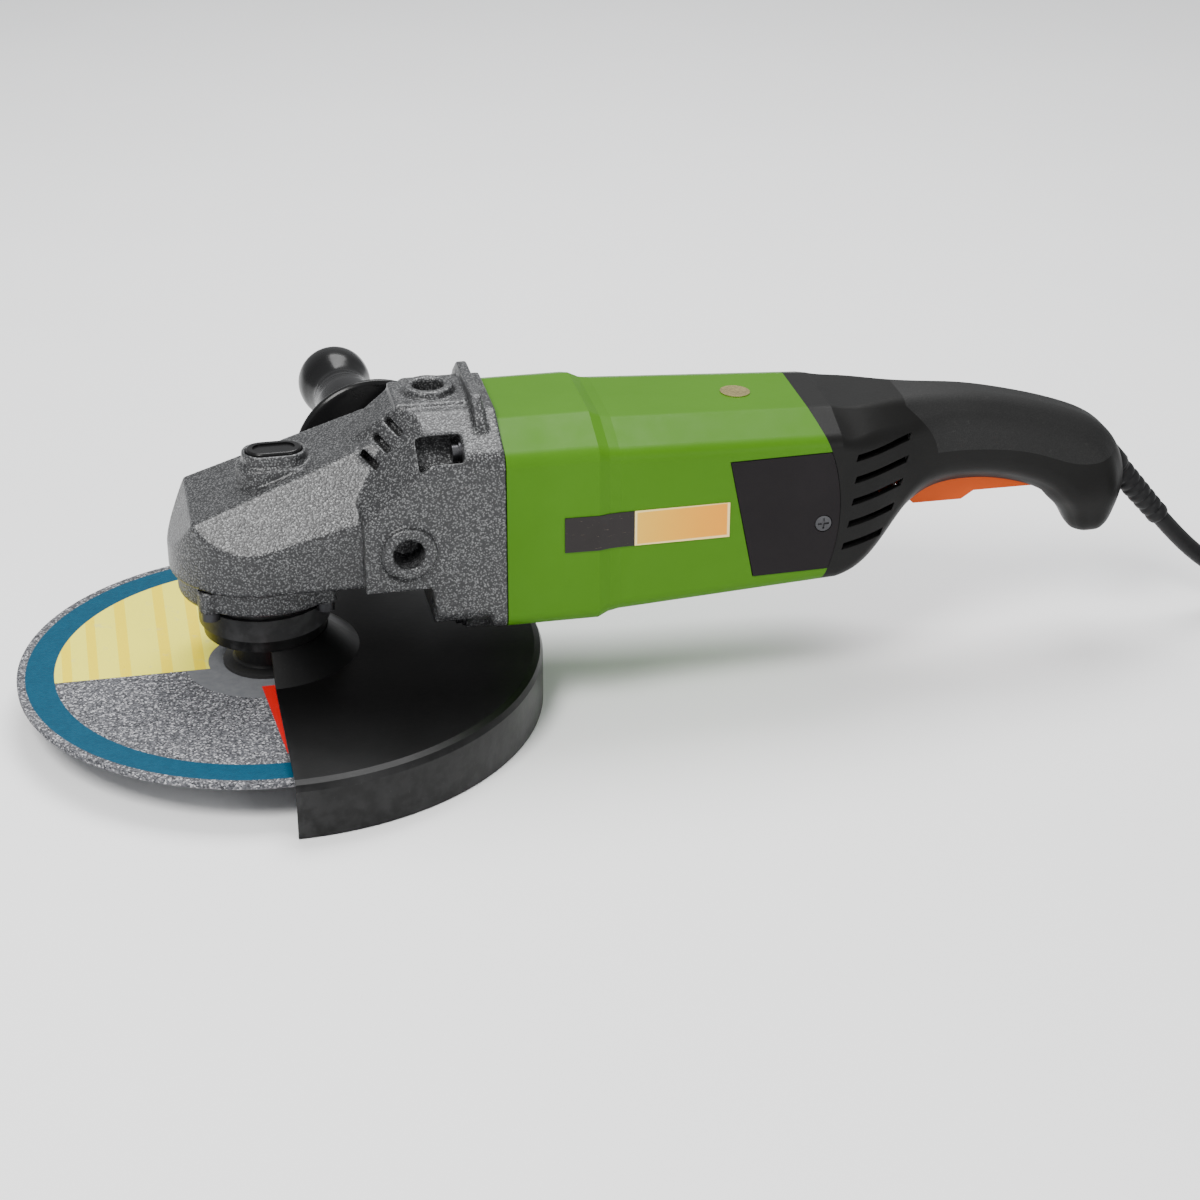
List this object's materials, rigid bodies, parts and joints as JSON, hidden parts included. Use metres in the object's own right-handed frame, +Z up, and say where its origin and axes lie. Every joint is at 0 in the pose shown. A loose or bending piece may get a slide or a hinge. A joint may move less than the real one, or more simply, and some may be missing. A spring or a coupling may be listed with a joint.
{
  "type": "angle grinder",
  "caption": "Large two-handed corded angle grinder with cutting disc, half guard, side handle, hooked rear handle and trigger.",
  "frame": {"origin": "on the spindle axis, in the plane of the guard's lower edge", "axes": "+Z up along the spindle, +X along the motor towards the rear handle, +Y towards the side handle"},
  "size_m": [0.7251, 0.3237, 0.1535],
  "materials": {
    "head_casting": "grey hammered paint on cast alloy",
    "green_housing": "satin moulded nylon",
    "dark_panel": "satin moulded panel",
    "black_cover": "satin moulded nylon",
    "soft_rubber": "fine grained soft grip",
    "orange_plastic": "semi-gloss moulded",
    "black_gloss": "glossy moulded",
    "guard_paint": "satin black stoved paint",
    "collar_paint": "black phosphated",
    "black_screws": "blackened steel",
    "steel": "ground and turned steel",
    "gear_steel": "oiled cut steel",
    "bearing_steel": "polished",
    "laminations": "stacked sheet",
    "copper": "varnished copper wire",
    "brass_parts": "plain",
    "carbon": "pressed carbon",
    "fan_plastic": "moulded",
    "inner_plastic": "moulded",
    "disc_abrasive": "resin bonded grit with printed labels",
    "two_tone_label": "printed film without lettering",
    "gold_badge": "bright domed",
    "cord_rubber": "smooth rubber sheath",
    "plug_rubber": "moulded with steel pins",
    "tie_rubber": "soft strap"
  },
  "bodies": {
    "tool_body": {"gear_housing": "head_casting", "bearing_box": "head_casting", "motor_housing": "green_housing", "brush_cover_near": "dark_panel", "brush_cover_far": "dark_panel", "rear_cover": "black_cover", "handle_shell_near": "black_cover", "handle_shell_far": "black_cover", "soft_grip": "soft_rubber", "side_handle_grip": "black_gloss", "bearing_box_screws": "black_screws", "housing_bolts": "black_screws", "brush_cover_screws": "black_screws", "handle_screws": "black_screws", "side_handle_stud": "steel", "trigger_pin": "steel", "bearing_retainer": "steel", "front_motor_bearing": "bearing_steel", "rear_motor_bearing": "bearing_steel", "lower_spindle_bearing": "bearing_steel", "upper_spindle_bearing": "bearing_steel", "stator_core": "laminations", "field_coils": "copper", "brush_holders": "brass_parts", "carbon_brushes": "carbon", "brush_springs": "steel", "lock_spring": "steel", "trigger_spring": "steel", "fan_baffle": "inner_plastic", "rear_bearing_bush": "soft_rubber", "spindle_seal": "cord_rubber", "switch_body": "inner_plastic", "nameplate": "two_tone_label", "top_badge": "gold_badge", "strain_relief": "cord_rubber", "cord_inner_end": "cord_rubber", "power_cord": "cord_rubber", "cord_coil": "cord_rubber", "cord_tie": "tie_rubber", "plug": "plug_rubber"},
    "spindle_unit": {"spindle": "steel", "bevel_gear": "gear_steel", "inner_flange": "collar_paint", "cutting_disc": "disc_abrasive", "clamp_nut": "black_screws"},
    "armature_unit": {"armature_shaft": "steel", "armature_core": "laminations", "armature_windings": "copper", "commutator": "copper", "fan": "fan_plastic", "pinion": "gear_steel", "pinion_nut": "steel"},
    "guard_unit": {"wheel_guard": "guard_paint", "guard_band": "collar_paint", "guard_band_screw": "black_screws"},
    "lock_unit": {"lock_button": "black_gloss", "lock_pin": "steel"},
    "trigger_unit": {"trigger": "orange_plastic"},
    "plunger_unit": {"switch_plunger": "inner_plastic"},
    "lock_off_unit": {"lock_off_button": "orange_plastic"}
  },
  "joints": [
    {"name": "armature_spin", "type": "hinge", "parent": "tool_body", "child": "armature_unit", "pos_m": [0, 0, 0.092], "axis": [1, 0, 0], "continuous": true},
    {"name": "spindle_spin", "type": "hinge", "parent": "tool_body", "child": "spindle_unit", "pos_m": [0, 0, 0], "axis": [0, 0, 1], "continuous": true},
    {"name": "guard_turn", "type": "hinge", "parent": "tool_body", "child": "guard_unit", "pos_m": [0, 0, 0], "axis": [0, 0, 1], "range_deg": [-75, 75]},
    {"name": "lock_press", "type": "slide", "parent": "tool_body", "child": "lock_unit", "axis": [0, 0, -1], "range_m": [0, 0.005], "stiffness_N_per_m": 600, "springref_m": -0.002, "deforming": ["lock_spring"]},
    {"name": "trigger_squeeze", "type": "hinge", "parent": "tool_body", "child": "trigger_unit", "pos_m": [0.371, 0, 0.088], "axis": [0, 1, 0], "range_deg": [0, 5], "stiffness_Nm_per_rad": 4, "springref_deg": -2.86, "deforming": ["trigger_spring"]},
    {"name": "plunger_slide", "type": "slide", "parent": "tool_body", "child": "plunger_unit", "axis": [0, 0, 1], "range_m": [0, 0.0028]},
    {"name": "lock_off_slide", "type": "slide", "parent": "tool_body", "child": "lock_off_unit", "axis": [-1, 0, 0], "range_m": [0, 0.0025], "stiffness_N_per_m": 400, "springref_m": -0.001}
  ],
  "couplings": [
    {"joint": "spindle_spin", "follows": "armature_spin", "ratio": 0.25581},
    {"joint": "plunger_slide", "follows": "trigger_squeeze", "m_per_rad": 0.03}
  ]
}
